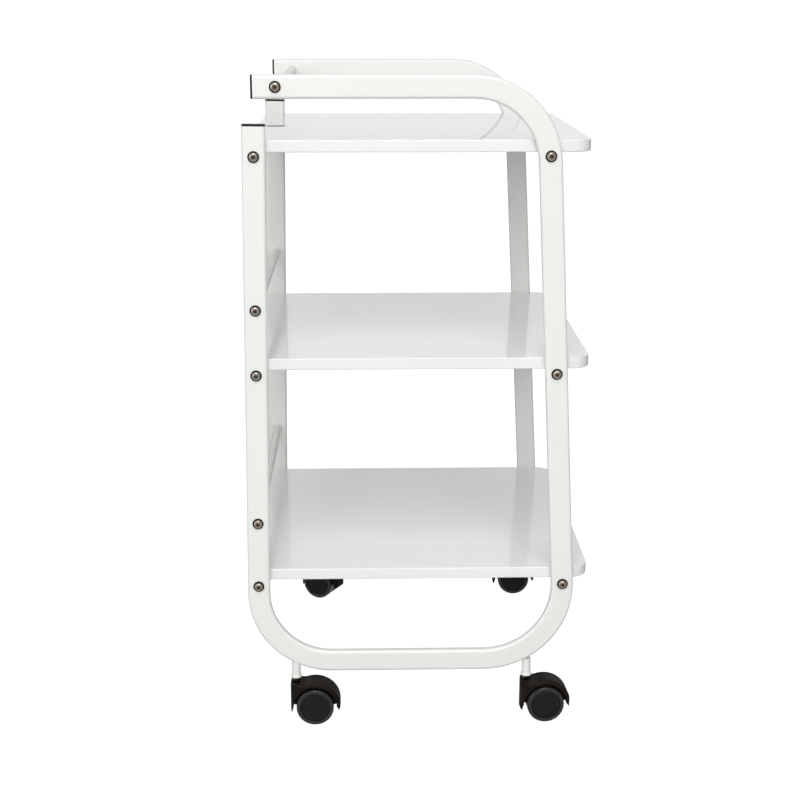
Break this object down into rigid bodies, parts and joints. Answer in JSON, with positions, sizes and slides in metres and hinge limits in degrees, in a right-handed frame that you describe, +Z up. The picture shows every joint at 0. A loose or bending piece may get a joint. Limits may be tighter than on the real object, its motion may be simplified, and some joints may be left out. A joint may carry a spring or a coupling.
{
  "type": "rolling salon trolley",
  "caption": "Open rolling trolley with bent flat-tube side frames, glossy white shelves, cross bars and hooded twin-wheel swivel casters.",
  "frame": {"origin": "on the floor under the middle of the trolley", "axes": "+X to the front (away from the handle ends), +Y to the left side frame, +Z up"},
  "size_m": [0.4515, 0.4828, 0.8565],
  "materials": {
    "frame_white": "white gloss powder coat",
    "board_white": "white high-gloss lacquer on fibreboard",
    "cap_black": "satin black plastic",
    "screw_steel": "nickel-plated steel",
    "washer_black": "black nylon",
    "zinc_steel": "yellow zinc-plated steel",
    "hood_black": "satin black nylon",
    "wheel_black": "satin black nylon",
    "bush_nylon": "natural nylon"
  },
  "bodies": {
    "trolley": {"bottom_shelf": "board_white", "middle_shelf": "board_white", "top_shelf": "board_white", "bottom_shelf_rear_bar": "frame_white", "bottom_shelf_front_bar": "frame_white", "middle_shelf_rear_bar": "frame_white", "middle_shelf_front_bar": "frame_white", "top_shelf_rear_bar": "frame_white", "top_shelf_front_bar": "frame_white", "bottom_guard_bar": "frame_white", "middle_guard_bar": "frame_white", "push_bar": "frame_white", "shelf_screws": "screw_steel", "right_side_frame": "frame_white", "right_post_cap": "cap_black", "right_handle_cap": "cap_black", "right_frame_screws": "screw_steel", "right_screw_washers": "washer_black", "right_bar_inserts": "zinc_steel", "left_side_frame": "frame_white", "left_post_cap": "cap_black", "left_handle_cap": "cap_black", "left_frame_screws": "screw_steel", "left_screw_washers": "washer_black", "left_bar_inserts": "zinc_steel", "rear_right_socket": "frame_white", "rear_right_socket_bush": "bush_nylon", "rear_right_stem": "zinc_steel", "front_right_socket": "frame_white", "front_right_socket_bush": "bush_nylon", "front_right_stem": "zinc_steel", "rear_left_socket": "frame_white", "rear_left_socket_bush": "bush_nylon", "rear_left_stem": "zinc_steel", "front_left_socket": "frame_white", "front_left_socket_bush": "bush_nylon", "front_left_stem": "zinc_steel"},
    "rear_right_caster": {"rear_right_hood": "hood_black", "rear_right_axle": "zinc_steel"},
    "rear_right_inner_wheel_body": {"rear_right_inner_wheel": "wheel_black"},
    "rear_right_outer_wheel_body": {"rear_right_outer_wheel": "wheel_black"},
    "front_right_caster": {"front_right_hood": "hood_black", "front_right_axle": "zinc_steel"},
    "front_right_inner_wheel_body": {"front_right_inner_wheel": "wheel_black"},
    "front_right_outer_wheel_body": {"front_right_outer_wheel": "wheel_black"},
    "rear_left_caster": {"rear_left_hood": "hood_black", "rear_left_axle": "zinc_steel"},
    "rear_left_inner_wheel_body": {"rear_left_inner_wheel": "wheel_black"},
    "rear_left_outer_wheel_body": {"rear_left_outer_wheel": "wheel_black"},
    "front_left_caster": {"front_left_hood": "hood_black", "front_left_axle": "zinc_steel"},
    "front_left_inner_wheel_body": {"front_left_inner_wheel": "wheel_black"},
    "front_left_outer_wheel_body": {"front_left_outer_wheel": "wheel_black"}
  },
  "joints": [
    {"name": "rear_right_swivel", "type": "hinge", "parent": "trolley", "child": "rear_right_caster", "pos_m": [-0.1643, -0.2236, 0.05], "axis": [0, 0, 1], "continuous": true},
    {"name": "rear_right_inner_spin", "type": "hinge", "parent": "rear_right_caster", "child": "rear_right_inner_wheel_body", "pos_m": [-0.1393, -0.2129, 0.025], "axis": [0, 1, 0], "continuous": true},
    {"name": "rear_right_outer_spin", "type": "hinge", "parent": "rear_right_caster", "child": "rear_right_outer_wheel_body", "pos_m": [-0.1393, -0.2343, 0.025], "axis": [0, 1, 0], "continuous": true},
    {"name": "front_right_swivel", "type": "hinge", "parent": "trolley", "child": "front_right_caster", "pos_m": [0.1454, -0.2236, 0.05], "axis": [0, 0, 1], "continuous": true},
    {"name": "front_right_inner_spin", "type": "hinge", "parent": "front_right_caster", "child": "front_right_inner_wheel_body", "pos_m": [0.16959, -0.21118, 0.025], "axis": [-0.0698, 0.9976, 0], "continuous": true},
    {"name": "front_right_outer_spin", "type": "hinge", "parent": "front_right_caster", "child": "front_right_outer_wheel_body", "pos_m": [0.17108, -0.23253, 0.025], "axis": [-0.0698, 0.9976, 0], "continuous": true},
    {"name": "rear_left_swivel", "type": "hinge", "parent": "trolley", "child": "rear_left_caster", "pos_m": [-0.1643, 0.2236, 0.05], "axis": [0, 0, 1], "continuous": true},
    {"name": "rear_left_inner_spin", "type": "hinge", "parent": "rear_left_caster", "child": "rear_left_inner_wheel_body", "pos_m": [-0.14725, 0.20242, 0.025], "axis": [0.4695, 0.8829, 0], "continuous": true},
    {"name": "rear_left_outer_spin", "type": "hinge", "parent": "rear_left_caster", "child": "rear_left_outer_wheel_body", "pos_m": [-0.1372, 0.22131, 0.025], "axis": [0.4695, 0.8829, 0], "continuous": true},
    {"name": "front_left_swivel", "type": "hinge", "parent": "trolley", "child": "front_left_caster", "pos_m": [0.1454, 0.2236, 0.05], "axis": [0, 0, 1], "continuous": true},
    {"name": "front_left_inner_spin", "type": "hinge", "parent": "front_left_caster", "child": "front_left_inner_wheel_body", "pos_m": [0.1704, 0.2129, 0.025], "axis": [0, 1, 0], "continuous": true},
    {"name": "front_left_outer_spin", "type": "hinge", "parent": "front_left_caster", "child": "front_left_outer_wheel_body", "pos_m": [0.1704, 0.2343, 0.025], "axis": [0, 1, 0], "continuous": true}
  ]
}
